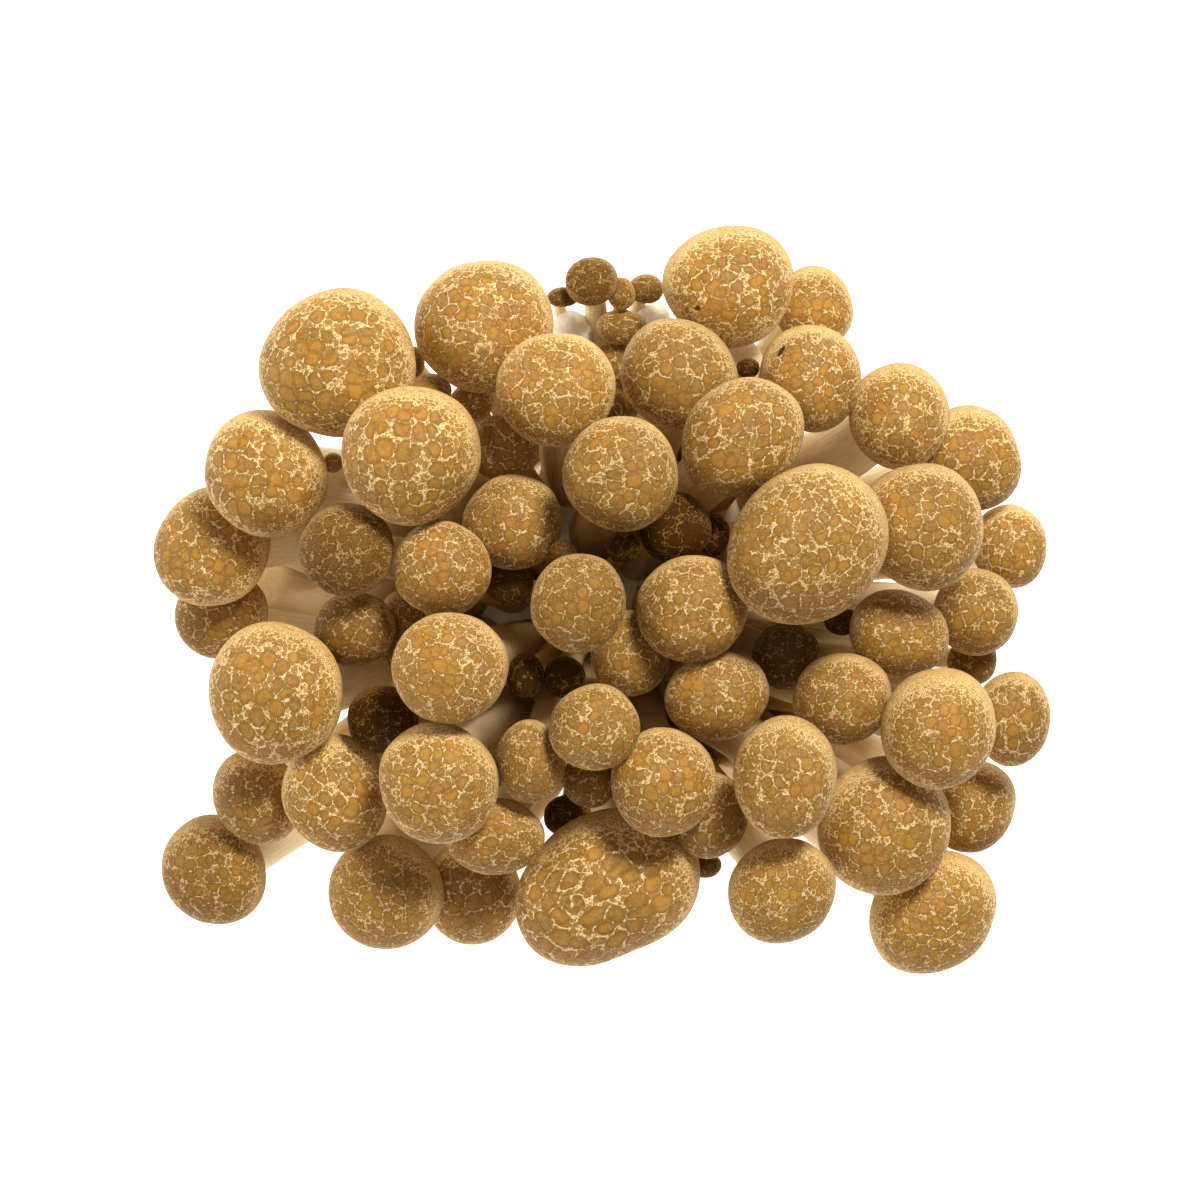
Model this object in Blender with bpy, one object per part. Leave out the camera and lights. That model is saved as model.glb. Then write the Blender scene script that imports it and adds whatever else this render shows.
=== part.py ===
"""A beech mushroom cluster, standing on the cut face of its base.

Pale stems rise from one lumpy base and bow outwards, and each carries a brown cap with gills below.
The stems, the base and the smallest mushrooms grew together as one body, and each larger cap is its own.
Lengths are in millimetres until the meshes are made. Z is up and the cut face lies at Z = 0.
"""

import math

import bmesh
import bpy
import numpy as np
from mathutils import Vector
from mathutils.bvhtree import BVHTree

MM = 0.001

# The caps fill a dome, a rounded oblong about 120 mm by 100 mm from above and 75 mm high
RIM_HALF_WIDTH = 62.0
RIM_HALF_DEPTH = 52.0
RIM_SQUARENESS = 3.0
CROWN_HEIGHT = 72.0
RIM_DROP = 29.0
PINHEAD_DEPTH = 8.0

# A cap smaller than this stands lower by so many mm for each mm that it is smaller
FULL_GROWN = 14.0
YOUNG_DEPTH = 1.6

# Sizes were read from straight above, at the height of the middle caps
EYE_HEIGHT = 800.0
READING_HEIGHT = 62.0
OUTLINE_MIDDLE = (-0.1, -0.6)

# A cap at the rim leans this far from upright
RIM_LEAN_DEG = 28.0
LEAN_GROWTH = 1.8

# A cap's turned outline, in shares of its half width, from near the top to the seat of the stem
CAP_TOP = 0.78
CAP_RINGS = [(0.54, 0.66), (0.89, 0.32), (0.99, -0.12), (0.74, -0.50)]
GILL_RING = (0.56, -0.40)
GILL_DEPTH = 0.09
SEAT_RADIUS = 0.42
SEAT_HEIGHT = -0.28
LARGE_CAP = 15.0
SMALL_CAP = 10.0
SIDES_LARGE, SIDES_MIDDLE, SIDES_SMALL = 14, 12, 10

# The smallest caps are plain knobs
KNOB_RINGS = [(0.72, 0.50), (1.00, -0.10)]
KNOB_SEAT = (0.55, -0.50)
SIDES_KNOB = 6

# Touching pieces keep this much air
GAP = 0.35
LEAST_OVERLAP = 0.95
SETTLE_STEP = 0.4

# Stems, with thickness in shares of the cap's half width
STEM_SIDES, STEM_SIDES_SMALL, STEM_SIDES_PINHEAD = 6, 5, 4
STOUT_STEM_CAP = 15.0
STEM_POINTS = 5
STEM_TOP = 0.42
STEM_SHOULDER = 0.45
STEM_MIDDLE = 0.50
STEM_FOOT = 0.66
STEM_THINNEST = 0.9
STEM_IN_CAP = 0.5
FOOT_SHARE = 0.44
FOOT_HEIGHT = 6.0
ROUTE_POINTS = 16
RELAX_ROUNDS = 120
STEM_AIR = 0.2

# The base, a lumpy mound
BASE_HALF_WIDTH = 30.0
BASE_HALF_DEPTH = 26.5
BASE_SIDES = 16
BASE_RINGS = [(0.92, 0.0), (1.00, 3.0), (1.01, 8.0), (0.93, 13.0), (0.75, 18.0), (0.40, 22.0)]
BASE_TOP = 23.0
BASE_LUMPS = [(3, 0.035, 0.4), (5, 0.030, 1.9), (8, 0.018, 0.9)]

# Colours, as base colour and roughness
CAP_COLOUR, CAP_ROUGHNESS = (0.50, 0.30, 0.11, 1.0), 0.62
STEM_COLOUR, STEM_ROUGHNESS = (0.80, 0.70, 0.54, 1.0), 0.55

# Each cap as it shows from above: place right of and behind the middle, size across and along, and turn.
# The one nearest the eye comes first, and no cap hides one that stands before it in the list.
CAPS = [
    (27.3, 7.9, 23.2, 21.1, 45),
    (2.7, 16.8, 15.5, 15.5, 0),
    (12.3, -1.2, 14.9, 14.4, 0),
    (-25.2, 19.2, 18.7, 18.7, 0),
    (-2.8, -0.4, 12.5, 13.3, -15),
    (18.9, 21.6, 17.6, 15.2, 45),
    (-20.0, -9.1, 15.7, 14.9, 0),
    (-5.9, 28.0, 16.0, 15.2, 0),
    (-15.5, 36.3, 18.4, 17.6, 0),
    (-21.1, 4.4, 13.1, 12.5, 0),
    (-11.7, 10.4, 13.3, 12.8, 0),
    (-0.8, -16.9, 12.3, 11.7, 0),
    (-21.5, -24.4, 16.0, 16.3, 0),
    (8.5, -24.3, 14.1, 14.7, 0),
    (24.7, -23.6, 13.9, 16.5, 0),
    (27.9, 29.5, 13.3, 14.4, 0),
    (10.7, 30.1, 16.0, 14.9, -15),
    (16.9, 41.9, 17.3, 15.7, -10),
    (42.8, 9.7, 16.8, 17.1, 0),
    (-43.2, -12.3, 17.9, 18.9, 0),
    (45.1, -17.2, 15.5, 16.3, 0),
    (32.3, -13.2, 13.3, 12.3, 0),
    (39.9, -4.5, 13.6, 11.5, -15),
    (-35.5, -25.6, 14.1, 15.5, 0),
    (-34.8, 31.5, 21.1, 19.5, -20),
    (-44.3, 16.9, 16.8, 17.1, 0),
    (39.9, 24.5, 13.6, 14.4, 0),
    (37.9, -30.1, 17.9, 18.7, 0),
    (49.3, 19.1, 13.6, 14.1, 0),
    (28.4, 39.3, 10.4, 10.7, 0),
    (50.1, -1.6, 11.5, 11.7, 0),
    (54.5, 7.2, 10.1, 10.9, 0),
    (15.6, -12.9, 14.1, 11.7, 10),
    (4.1, -7.1, 10.7, 11.5, 0),
    (-9.3, -21.5, 9.3, 11.2, 0),
    (-14.0, -31.5, 13.3, 10.4, 0),
    (-33.9, 6.7, 12.8, 12.5, 0),
    (-51.7, 7.1, 15.7, 15.7, 0),
    (-45.7, -26.5, 11.7, 12.3, 0),
    (-28.5, -38.8, 15.5, 15.2, 0),
    (14.5, -28.7, 10.7, 11.7, 0),
    (1.1, -38.0, 24.5, 20.3, 22),
    (-17.2, -39.1, 13.3, 13.6, 0),
    (24.4, -38.7, 14.4, 14.1, 0),
    (44.3, -41.6, 16.5, 16.3, 0),
    (49.5, -27.9, 11.5, 11.7, 0),
    (54.8, -16.0, 10.4, 12.5, 0),
    (-50.4, -1.9, 12.5, 11.7, 0),
    (-51.5, -35.9, 14.1, 14.7, 0),
    (-32.8, -3.9, 11.2, 9.9, 0),
    (-28.9, -16.0, 9.6, 9.1, 0),
    (24.8, -7.5, 9.1, 9.1, 0),
    (-12.9, 20.3, 9.1, 9.1, 0),
    (10.1, 9.6, 9.6, 9.6, 0),
    (-12.3, 2.7, 6.9, 6.9, 0),
    (-26.4, -4.3, 6.9, 11.2, 0),
    (-1.3, -24.0, 7.5, 7.5, 0),
    (49.6, -8.0, 6.7, 6.9, 0),
    (-1.2, 42.4, 6.9, 6.4, 0),
]

# Where an outline from above bulges or is flattened, by the cap's number: direction, share of half width
SWELLINGS = {
    1: [(137, -0.12), (30, -0.03)],
    5: [(205, 0.05)],
    9: [(50, 0.04), (140, 0.03)],
    10: [(-50, 0.05)],
    12: [(140, -0.05)],
    16: [(20, 0.06)],
    17: [(35, -0.05)],
    18: [(48, 0.09), (-90, 0.05)],
    20: [(225, 0.05)],
    24: [(-45, 0.09)],
    25: [(60, 0.06), (150, -0.03), (205, 0.03)],
    26: [(42, -0.09), (130, 0.05)],
    29: [(40, -0.06), (-40, 0.07)],
    30: [(-45, 0.08)],
    32: [(-60, 0.06), (55, 0.05)],
    38: [(150, -0.09), (205, 0.09), (111, 0.05)],
    39: [(125, 0.12)],
    40: [(250, 0.03)],
    42: [(222, 0.10), (-55, -0.06), (150, -0.04), (-15, 0.05), (-90, -0.03)],
    43: [(-50, 0.04)],
    44: [(215, 0.07), (170, -0.02), (-30, -0.03)],
    45: [(40, 0.12), (-35, -0.04), (222, 0.05)],
    46: [(56, 0.15)],
    47: [(50, 0.07)],
    48: [(220, 0.05)],
    53: [(-30, 0.08)],
    59: [(50, 0.12)],
}
SWELLING_NARROWNESS = 3

# Stems that are stouter than the others, by the cap's number
STOUT_STEMS = {
    18: 1.25,
    20: 1.15,
    26: 1.35,
    27: 1.30,
    30: 1.50,
    31: 1.35,
    32: 1.15,
    38: 1.25,
    40: 1.40,
    48: 1.40,
    49: 1.20,
}

# The smallest mushrooms, deep between the others and listed the same way
PINHEADS = [
    (-4.9, 40.4, 4.3, 2.7, 0),
    (2.9, 40.8, 3.7, 4.5, 0),
    (6.1, 41.5, 4.8, 4.0, 0),
    (2.8, 36.4, 6.7, 4.8, 0),
    (2.0, 32.0, 5.3, 6.1, 0),
    (-4.3, -28.7, 6.4, 5.6, 0),
    (-9.9, -10.0, 5.1, 6.1, 0),
    (-4.7, -10.3, 5.6, 5.6, 0),
    (3.2, 7.2, 4.8, 4.5, 0),
    (-4.9, 6.4, 3.7, 3.2, 0),
    (14.0, -35.4, 4.4, 3.3, 0),
    (-22.7, 28.0, 5.9, 4.5, 0),
    (-17.1, 26.4, 5.9, 5.3, 0),
    (-24.8, 31.7, 2.9, 4.3, 0),
    (-35.6, 18.3, 2.7, 2.7, 0),
    (14.9, 8.7, 4.8, 5.9, 0),
    (32.3, -2.9, 4.8, 3.7, 0),
    (19.7, 30.9, 3.2, 2.7, 0),
    (1.6, 26.0, 4.3, 4.8, 0),
    (-4.0, 37.3, 5.9, 5.3, 0),
    (7.4, 38.3, 4.8, 4.8, 0),
    (19.4, 33.0, 5.6, 5.6, 0),
    (-46.5, 3.2, 8.0, 8.0, 0),
]


def rim_share(x, y):
    """How far out a place is: 0 in the middle and 1 at the rounded oblong rim."""
    sides = abs(x / RIM_HALF_WIDTH) ** RIM_SQUARENESS + abs(y / RIM_HALF_DEPTH) ** RIM_SQUARENESS
    return sides ** (1 / RIM_SQUARENESS)


def dome_height(x, y):
    """The height of the dome over that place."""
    return CROWN_HEIGHT - RIM_DROP * rim_share(x, y) ** 2


def real_place(x, y, height):
    """A place seen from above, moved to where it really is at that height."""
    share = (EYE_HEIGHT - height) / (EYE_HEIGHT - READING_HEIGHT)
    return x * share - OUTLINE_MIDDLE[0], y * share - OUTLINE_MIDDLE[1], share


def cap_axis(x, y):
    """The direction a cap faces: upright in the middle, leaning outwards at the rim."""
    lean = math.radians(RIM_LEAN_DEG * rim_share(x, y) ** LEAN_GROWTH)
    out = Vector((x, y, 0.0)).normalized()
    return out * math.sin(lean) + Vector((0.0, 0.0, math.cos(lean)))


def turned_cap(rings, sides):
    """Points and faces of an upright cap with a half width of 1, its last point the middle of the seat."""
    points = [(0.0, 0.0, CAP_TOP)]
    for radius, height in rings:
        for side in range(sides):
            angle = 2 * math.pi * side / sides
            ridge = GILL_DEPTH * (-1) ** side if (radius, height) == GILL_RING else 0.0
            points.append((radius * math.cos(angle), radius * math.sin(angle), height + ridge))
    points.append((0.0, 0.0, rings[-1][1]))
    faces = []
    for side in range(sides):
        after = (side + 1) % sides
        faces.append((0, 1 + side, 1 + after))
        for ring in range(len(rings) - 1):
            upper, lower = 1 + ring * sides, 1 + (ring + 1) * sides
            faces.append((upper + side, lower + side, lower + after, upper + after))
        last = 1 + (len(rings) - 1) * sides
        faces.append((last + side, len(points) - 1, last + after))
    return np.array(points), faces


def swollen(points, swellings):
    """Bulges or flattens a cap's outline from above in the given directions."""
    angle = np.arctan2(points[:, 1], points[:, 0])
    growth = np.ones(len(points))
    for direction, share in swellings:
        facing = np.clip(np.cos(angle - math.radians(direction)), 0.0, None)
        growth += share * facing**SWELLING_NARROWNESS
    return points * np.stack((growth, growth, np.ones(len(points))), axis=1)


class Cap:
    """One cap: its points at the place and height where it sits, and the seat of its stem."""

    def __init__(self, row, rings, sides, height, swellings=()):
        self.x, self.y, self.across, self.along, turn = row
        self.axis = cap_axis(self.x, self.y)
        upright, self.faces = turned_cap(rings, sides)
        turned = np.array(Vector((0, 0, 1)).rotation_difference(self.axis).to_matrix())
        self.points = swollen(self.sized(upright @ turned.T, math.radians(turn)), swellings)
        self.move_to(height)

    def sized(self, points, turn):
        """Stretches the cap until its outline from above has the size across and along that it shows."""
        first = np.array((math.cos(turn), math.sin(turn), 0.0))
        second = np.array((-math.sin(turn), math.cos(turn), 0.0))
        growth = []
        for direction, wanted in ((first, self.across), (second, self.along)):
            reach = points @ direction
            growth.append(wanted / (reach.max() - reach.min()))
            points = points + np.outer(reach * (growth[-1] - 1.0), direction)
        points[:, 2] *= sum(growth) / 2
        for direction in (first, second):
            reach = points @ direction
            points = points - direction * (reach.max() + reach.min()) / 2
        return points

    def move_to(self, height):
        """Puts the cap at that height, where it still shows in its place from above."""
        x, y, share = real_place(self.x, self.y, height)
        self.height = height
        self.middle = np.array((x, y, height))
        self.placed = self.points * share + self.middle
        self.radius = (self.across + self.along) / 4 * share
        self.seat = self.placed[-1]
        outwards = self.points / np.linalg.norm(self.points, axis=1)[:, None]
        swollen_points = [Vector(p) for p in self.placed + outwards * GAP / 2]
        self.faces_there = BVHTree.FromPolygons(swollen_points, self.faces)

    def crowds(self, other):
        """True if this cap comes within the gap of the other."""
        apart = np.linalg.norm(self.middle - other.middle)
        if apart > 1.2 * (self.radius + other.radius) + GAP:
            return False
        if apart < 0.9 * max(self.radius, other.radius):
            return True
        return bool(self.faces_there.overlap(other.faces_there))

    def hides(self, other):
        """True if this cap stands over the other where the two overlap from above."""
        apart = math.hypot(self.x - other.x, self.y - other.y)
        reach = (self.across + self.along + other.across + other.along) / 4
        return apart < LEAST_OVERLAP * reach and self.height > other.height


def sides_for(row):
    """The larger a cap is, the more sides it gets."""
    size = (row[2] + row[3]) / 2
    if size > LARGE_CAP:
        return SIDES_LARGE
    return SIDES_MIDDLE if size > SMALL_CAP else SIDES_SMALL


def settled_caps():
    """All caps under one dome, each lowered until it is clear of those that stand above it."""
    cap_rings = [*CAP_RINGS, GILL_RING, (SEAT_RADIUS, SEAT_HEIGHT)]
    knob_rings = [*KNOB_RINGS, KNOB_SEAT]
    waiting = []
    for number, row in enumerate(CAPS, 1):
        height = dome_height(row[0], row[1]) - YOUNG_DEPTH * max(0.0, FULL_GROWN - (row[2] + row[3]) / 2)
        waiting.append(Cap(row, cap_rings, sides_for(row), height, SWELLINGS.get(number, ())))
    for row in PINHEADS:
        height = dome_height(row[0], row[1]) - PINHEAD_DEPTH
        waiting.append(Cap(row, knob_rings, SIDES_KNOB, height))
    placed = []
    for cap in waiting:
        while any(cap.crowds(other) or cap.hides(other) for other in placed):
            cap.move_to(cap.height - SETTLE_STEP)
        placed.append(cap)
    return placed[: len(CAPS)], placed[len(CAPS) :]


def bow(foot, seat, axis):
    """Points up a stem that leaves the base steeply and meets its cap square on."""
    rise = seat[2] - foot[2]
    lower = foot + np.array((0.20 * (seat[0] - foot[0]), 0.20 * (seat[1] - foot[1]), 0.45 * rise))
    upper = seat - np.array(axis) * 0.38 * rise
    points = []
    for step in range(ROUTE_POINTS):
        t = step / (ROUTE_POINTS - 1)
        near_foot = (1 - t) ** 3 * foot + 3 * (1 - t) ** 2 * t * lower
        points.append(near_foot + 3 * (1 - t) * t * t * upper + t**3 * seat)
    return np.array(points)


def stem_radii(cap, growth):
    """Half thickness up a stem, from a stout foot to the neck below the cap."""
    shares = np.linspace(0.0, 1.0, ROUTE_POINTS)
    widths = (STEM_FOOT * growth, STEM_MIDDLE * growth, STEM_SHOULDER * growth, STEM_TOP)
    return np.maximum(cap.radius * np.interp(shares, (0.0, 0.35, 0.80, 1.0), widths), STEM_THINNEST)


def relaxed(paths, radii, caps):
    """Bends the stems clear of the caps that they pass and of each other, their ends held."""
    count = len(paths)
    bows = paths.copy()
    inner = np.arange(1, ROUTE_POINTS - 1)
    middles = np.array([cap.middle for cap in caps])
    reach = np.array([cap.radius for cap in caps])
    own = np.repeat(np.arange(count), len(inner))
    for _ in range(RELAX_ROUNDS):
        moving = paths[:, inner].reshape(-1, 3)
        thick = radii[:, inner].reshape(-1)
        push = np.zeros_like(moving)
        for centres, sizes, owners, strength in (
            (middles, reach * 0.94, np.arange(count), 0.5),
            (moving, thick * 0.95, own, 0.22),
        ):
            away = moving[:, None] - centres[None]
            distance = np.linalg.norm(away, axis=2) + 1e-6
            short = np.clip(sizes[None] + thick[:, None] + STEM_AIR - distance, 0.0, None)
            short[own[:, None] == owners[None]] = 0.0
            away[:, :, 2] *= 0.4
            push += strength * (away / distance[:, :, None] * short[:, :, None]).sum(axis=1)
        moving = (moving + push).reshape(count, len(inner), 3)
        bent = paths - bows
        bent[:, inner] = moving - bows[:, inner]
        even = (bent[:, :-2] + bent[:, 2:]) / 2
        paths[:, inner] = moving + 0.25 * (even - bent[:, inner])
    return paths


def tube(points, radii, sides):
    """A closed tube round a line of points."""
    mesh = bmesh.new()
    rings = []
    side_way = None
    for step, (point, radius) in enumerate(zip(points, radii)):
        along = Vector(points[min(step + 1, len(points) - 1)] - points[max(step - 1, 0)]).normalized()
        if side_way is None:
            side_way = along.orthogonal()
        side_way = (side_way - along * side_way.dot(along)).normalized()
        cross_way = along.cross(side_way)
        ring = []
        for side in range(sides):
            angle = 2 * math.pi * side / sides
            offset = side_way * math.cos(angle) + cross_way * math.sin(angle)
            ring.append(mesh.verts.new((Vector(point) + offset * radius) * MM))
        rings.append(ring)
    for lower, upper in zip(rings, rings[1:]):
        for side in range(sides):
            after = (side + 1) % sides
            mesh.faces.new((lower[side], lower[after], upper[after], upper[side]))
    mesh.faces.new(list(reversed(rings[0])))
    mesh.faces.new(rings[-1])
    return mesh


def base_mesh():
    """The base: a lumpy mound with a flat cut face below."""
    mesh = bmesh.new()
    rings = []
    for share, height in BASE_RINGS:
        ring = []
        for side in range(BASE_SIDES):
            angle = 2 * math.pi * side / BASE_SIDES
            lump = 1.0 + sum(size * math.sin(waves * angle + start) for waves, size, start in BASE_LUMPS)
            place = (BASE_HALF_WIDTH * math.cos(angle), BASE_HALF_DEPTH * math.sin(angle))
            ring.append(mesh.verts.new((Vector((*place, 0.0)) * share * lump + Vector((0, 0, height))) * MM))
        rings.append(ring)
    for lower, upper in zip(rings, rings[1:]):
        for side in range(BASE_SIDES):
            after = (side + 1) % BASE_SIDES
            mesh.faces.new((lower[side], lower[after], upper[after], upper[side]))
    mesh.faces.new(list(reversed(rings[0])))
    top = mesh.verts.new((0.0, 0.0, BASE_TOP * MM))
    for side in range(BASE_SIDES):
        mesh.faces.new((rings[-1][side], rings[-1][(side + 1) % BASE_SIDES], top))
    return mesh


def cap_mesh(cap, air=0.0):
    """The cap's closed mesh, grown outwards by some air where it serves as a cutter."""
    mesh = bmesh.new()
    verts = [mesh.verts.new(Vector(point) * MM) for point in cap.placed]
    for face in cap.faces:
        mesh.faces.new([verts[index] for index in face])
    bmesh.ops.recalc_face_normals(mesh, faces=mesh.faces)
    mesh.normal_update()
    for vert, normal in [(vert, vert.normal.copy()) for vert in mesh.verts]:
        vert.co += normal * air * MM
    return mesh


def new_object(name, mesh, material, collection=None):
    """Links a mesh to the scene, or to a collection of shapes still to be joined."""
    bmesh.ops.recalc_face_normals(mesh, faces=mesh.faces)
    data = bpy.data.meshes.new(name)
    mesh.to_mesh(data)
    mesh.free()
    data.materials.append(material)
    made = bpy.data.objects.new(name, data)
    (collection or bpy.context.scene.collection).objects.link(made)
    return made


def new_material(name, colour, roughness):
    """A plain surface with that colour and roughness."""
    material = bpy.data.materials.new(name)
    material.use_nodes = True
    shader = material.node_tree.nodes["Principled BSDF"]
    shader.inputs["Base Color"].default_value = colour
    shader.inputs["Roughness"].default_value = roughness
    shader.inputs["Metallic"].default_value = 0.0
    return material


def combined(target, collection, operation):
    """Joins the collection's shapes to the target, or cuts them from it, and removes them."""
    modifier = target.modifiers.new(operation, "BOOLEAN")
    modifier.operation = operation
    modifier.operand_type = "COLLECTION"
    modifier.collection = collection
    modifier.solver = "MANIFOLD"
    bpy.context.view_layer.update()
    result = bpy.data.meshes.new_from_object(target.evaluated_get(bpy.context.evaluated_depsgraph_get()))
    target.modifiers.clear()
    target.data = result
    for used in list(collection.objects):
        bpy.data.objects.remove(used)
    bpy.data.collections.remove(collection)


def new_collection(name):
    """An empty collection in the scene."""
    made = bpy.data.collections.new(name)
    bpy.context.scene.collection.children.link(made)
    return made


def keep_outer_shell(target):
    """Keeps the largest body: a hollow sealed between stems is filled and a loose scrap is dropped."""
    mesh = bmesh.new()
    mesh.from_mesh(target.data)
    unseen = set(mesh.faces)
    shells = []
    while unseen:
        waiting = [unseen.pop()]
        shell = []
        while waiting:
            face = waiting.pop()
            shell.append(face)
            for edge in face.edges:
                fresh = [other for other in edge.link_faces if other in unseen]
                unseen.difference_update(fresh)
                waiting.extend(fresh)
        shells.append(shell)
    shells.sort(key=len)
    bmesh.ops.delete(mesh, geom=[face for shell in shells[:-1] for face in shell], context="FACES")
    bmesh.ops.delete(mesh, geom=[vert for vert in mesh.verts if not vert.link_faces], context="VERTS")
    mesh.to_mesh(target.data)
    mesh.free()


def main():
    """Builds the caps, then the body of stems and base that carries them."""
    for old in list(bpy.data.objects):
        bpy.data.objects.remove(old)
    cap_brown = new_material("cap_brown", CAP_COLOUR, CAP_ROUGHNESS)
    stem_cream = new_material("stem_cream", STEM_COLOUR, STEM_ROUGHNESS)

    caps, pinheads = settled_caps()
    for number, cap in enumerate(caps, 1):
        made = new_object(f"cap_{number:02d}", cap_mesh(cap), cap_brown)
        made.data.shade_smooth()

    everyone = caps + pinheads
    growths = [STOUT_STEMS.get(number, 1.0) for number in range(1, len(everyone) + 1)]
    radii = np.array([stem_radii(cap, growth) for cap, growth in zip(everyone, growths)])
    paths = []
    for cap in everyone:
        foot = np.array((cap.middle[0] * FOOT_SHARE, cap.middle[1] * FOOT_SHARE, FOOT_HEIGHT))
        seat = cap.seat + np.array(cap.axis) * STEM_IN_CAP
        paths.append(bow(foot, seat, cap.axis))
    paths = relaxed(np.array(paths), radii, everyone)
    kept = np.linspace(0, ROUTE_POINTS - 1, STEM_POINTS).round().astype(int)

    body = new_object("stems_and_base", base_mesh(), stem_cream)
    joined = new_collection("joined")
    for number, (cap, path, radius) in enumerate(zip(everyone, paths, radii), 1):
        sides = STEM_SIDES if cap.across > STOUT_STEM_CAP else STEM_SIDES_SMALL
        sides = STEM_SIDES_PINHEAD if cap in pinheads else sides
        new_object(f"stem_{number:02d}", tube(path[kept], radius[kept], sides), stem_cream, joined)
    for number, cap in enumerate(pinheads, 1):
        new_object(f"pinhead_{number:02d}", cap_mesh(cap), stem_cream, joined)
    combined(body, joined, "UNION")
    cutters = new_collection("cutters")
    for number, cap in enumerate(caps, 1):
        new_object(f"cutter_{number:02d}", cap_mesh(cap, GAP), stem_cream, cutters)
    combined(body, cutters, "DIFFERENCE")
    keep_outer_shell(body)


main()
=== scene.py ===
"""The looks of a beech mushroom cluster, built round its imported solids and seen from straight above.

Each cap gets its round form, its fine gills and a brown skin with a net of pale lines.
The stems keep the routes of the solid ones, with more sides and fibres, and grow from a lumpy base.
Lengths are in millimetres until the meshes are made.
"""

import collections
import math
import random

import bmesh
import bpy
import numpy as np
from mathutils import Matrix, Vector, noise
from mathutils.bvhtree import BVHTree

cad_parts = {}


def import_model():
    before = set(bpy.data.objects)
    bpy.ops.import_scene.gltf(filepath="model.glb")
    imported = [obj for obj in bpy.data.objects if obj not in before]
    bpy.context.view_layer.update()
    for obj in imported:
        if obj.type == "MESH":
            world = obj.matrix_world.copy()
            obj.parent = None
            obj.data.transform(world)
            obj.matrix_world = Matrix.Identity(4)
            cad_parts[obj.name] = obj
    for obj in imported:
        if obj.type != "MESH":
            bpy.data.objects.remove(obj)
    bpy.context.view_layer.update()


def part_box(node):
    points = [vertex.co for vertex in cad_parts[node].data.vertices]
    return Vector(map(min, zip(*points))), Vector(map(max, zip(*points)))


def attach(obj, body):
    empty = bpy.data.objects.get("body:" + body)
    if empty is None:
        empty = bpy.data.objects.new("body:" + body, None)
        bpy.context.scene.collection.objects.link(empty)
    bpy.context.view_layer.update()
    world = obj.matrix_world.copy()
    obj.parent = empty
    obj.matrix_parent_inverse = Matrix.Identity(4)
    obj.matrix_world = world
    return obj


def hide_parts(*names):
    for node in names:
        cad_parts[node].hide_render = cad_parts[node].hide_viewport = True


MM = 0.001
SEED = 11

# The dome, the point of view and the lean of the caps, as in the solids
RIM_HALF_WIDTH = 62.0
RIM_HALF_DEPTH = 52.0
RIM_SQUARENESS = 3.0
CROWN_HEIGHT = 72.0
RIM_DROP = 29.0
PINHEAD_DEPTH = 8.0
EYE_HEIGHT = 800.0
READING_HEIGHT = 62.0
OUTLINE_MIDDLE = (-0.1, -0.6)
RIM_LEAN_DEG = 28.0
LEAN_GROWTH = 1.8

# The turned outline of the solid caps, in shares of the half width
CAP_TOP = 0.78
CAP_RINGS = [(0.54, 0.66), (0.89, 0.32), (0.99, -0.12), (0.74, -0.50)]
GILL_RING = (0.56, -0.40)
GILL_DEPTH = 0.09
SEAT_RADIUS = 0.42
SEAT_HEIGHT = -0.28
LARGE_CAP = 15.0
SMALL_CAP = 10.0
SIDES_LARGE, SIDES_MIDDLE, SIDES_SMALL = 14, 12, 10
KNOB_RINGS = [(0.72, 0.50), (1.00, -0.10)]
KNOB_SEAT = (0.55, -0.50)
SIDES_KNOB = 6
GAP = 0.35
LEAST_OVERLAP = 0.95
SETTLE_STEP = 0.4

# Two caps can't touch further apart than the first share of their half widths, and always do
# nearer than the second share of the larger one
FAR_SHARE = 1.2
NEAR_SHARE = 0.9

# The stems' routes and thickness, and how they make room for each other, as in the solids
STEM_TOP = 0.42
STEM_SHOULDER = 0.45
STEM_MIDDLE = 0.50
STEM_FOOT = 0.66
STEM_THINNEST = 0.9
STEM_IN_CAP = 0.5
FOOT_SHARE = 0.44
FOOT_HEIGHT = 6.0
FOOT_DRIFT = 0.20
FOOT_RISE = 0.45
SEAT_RISE = 0.38
STEM_SHARES = (0.0, 0.35, 0.80, 1.0)
ROUTE_POINTS = 16
RELAX_ROUNDS = 120
STEM_AIR = 0.2
CAP_SIZE, CAP_PUSH = 0.94, 0.5
STEM_SIZE, STEM_PUSH = 0.95, 0.22
UPWARDS_SHARE = 0.4
EVENING = 0.25
LEAST_HEIGHT = 0.1

# The base, as in the solids
BASE_HALF_WIDTH = 30.0
BASE_HALF_DEPTH = 26.5
BASE_RINGS = [(0.92, 0.0), (1.00, 3.0), (1.01, 8.0), (0.93, 13.0), (0.75, 18.0), (0.40, 22.0)]
BASE_TOP = 23.0
BASE_LUMPS = [(3, 0.035, 0.4), (5, 0.030, 1.9), (8, 0.018, 0.9)]

# The rounded edge of the base's cut face, and how rough the base is: scale and size of each noise
CUT_EDGE_RINGS = [(0.60, 0.0), (0.88, 0.0), (0.94, 0.25), (0.97, 1.2)]
BASE_ROUGHNESS = [(0.22, 0.7), (0.8, 0.25)]

# The margin that turns in below each cap, as steps from the last ring of its top, and the flesh
# and gills from there to the stem
LIP_STEPS = [(-0.03, -0.012), (-0.065, 0.005)]
UNDER_RINGS = [
    (0.66, -0.465),
    (0.62, -0.44),
    GILL_RING,
    (0.48, -0.335),
    (SEAT_RADIUS, -0.285),
    (0.36, SEAT_HEIGHT),
]
FINE_GILL_DEPTH = 0.045
GILL_RINGS = 3

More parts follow.
